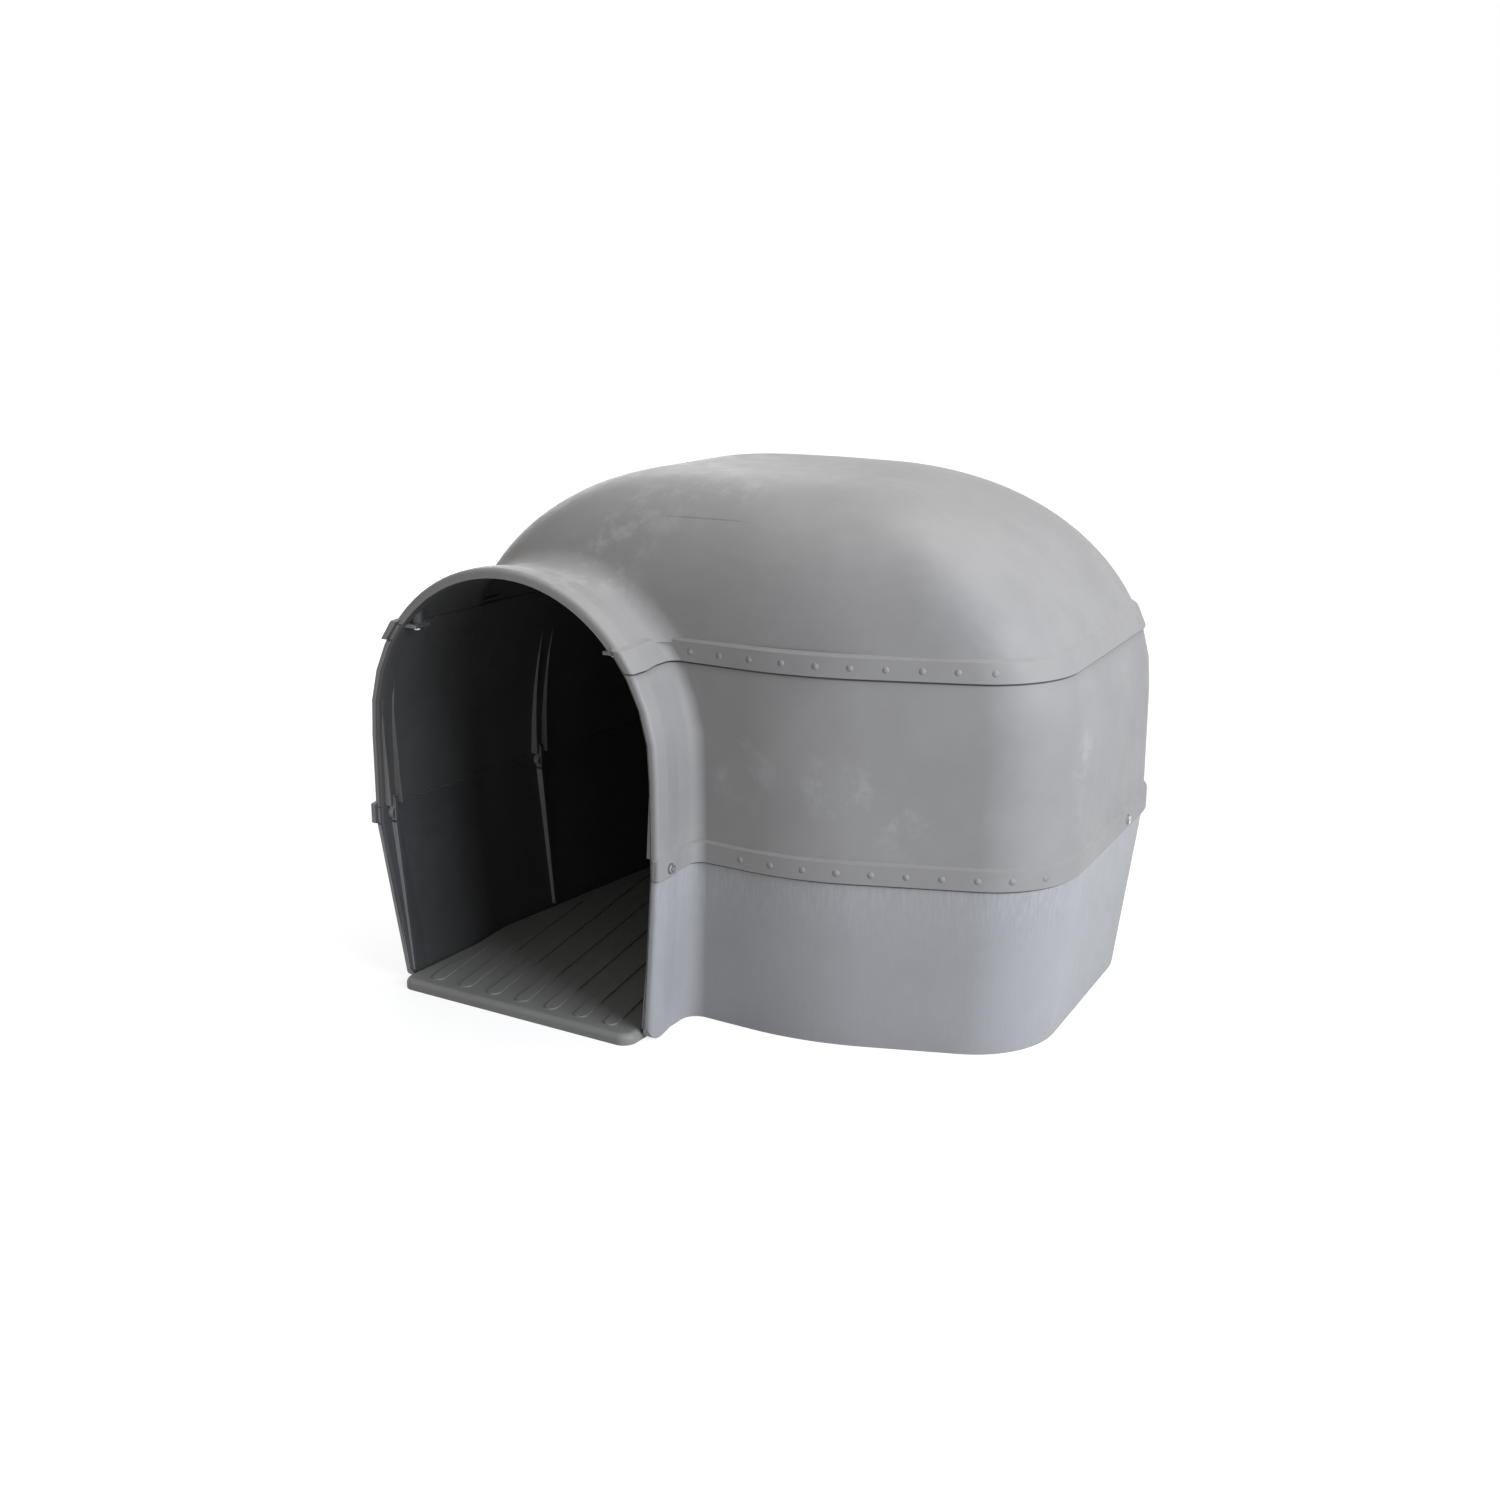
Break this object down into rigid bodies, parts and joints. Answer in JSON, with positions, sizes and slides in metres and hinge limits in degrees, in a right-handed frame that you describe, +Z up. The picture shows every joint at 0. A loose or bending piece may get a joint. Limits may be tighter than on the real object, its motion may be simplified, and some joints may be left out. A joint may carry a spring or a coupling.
{
  "type": "dog house",
  "caption": "Moulded igloo-style dog house with an offset arched doorway, lapped wall tiers, a domed roof and a ribbed floor tray",
  "frame": {"origin": "centre of the overall bounding box at ground level", "axes": "+X along the front from the doorway end to the plain end, +Y from the doorway side to the rear, +Z up"},
  "size_m": [0.988, 0.848, 0.761],
  "materials": {
    "lower_shell": "fine-textured moulded polyethylene, cool mid grey, faint vertical scuffs",
    "upper_shell": "fine-textured moulded polyethylene, warm mid grey",
    "floor_tray": "matt dark warm grey moulded polyethylene",
    "screws": "zinc-plated pan heads"
  },
  "bodies": {
    "root": {"lower_wall": "lower_shell", "middle_wall": "upper_shell", "dome": "upper_shell", "floor_panel": "floor_tray", "lower_screw_left_jamb": "screws", "lower_screw_right_jamb": "screws", "lower_screw_left_wall": "screws", "lower_screw_right_wall": "screws", "lower_screw_rear_left": "screws", "lower_screw_rear_right": "screws", "upper_screw_left_jamb": "screws", "upper_screw_right_jamb": "screws", "upper_screw_left_wall": "screws", "upper_screw_right_wall": "screws", "upper_screw_rear_left": "screws", "upper_screw_rear_right": "screws"}
  },
  "joints": []
}
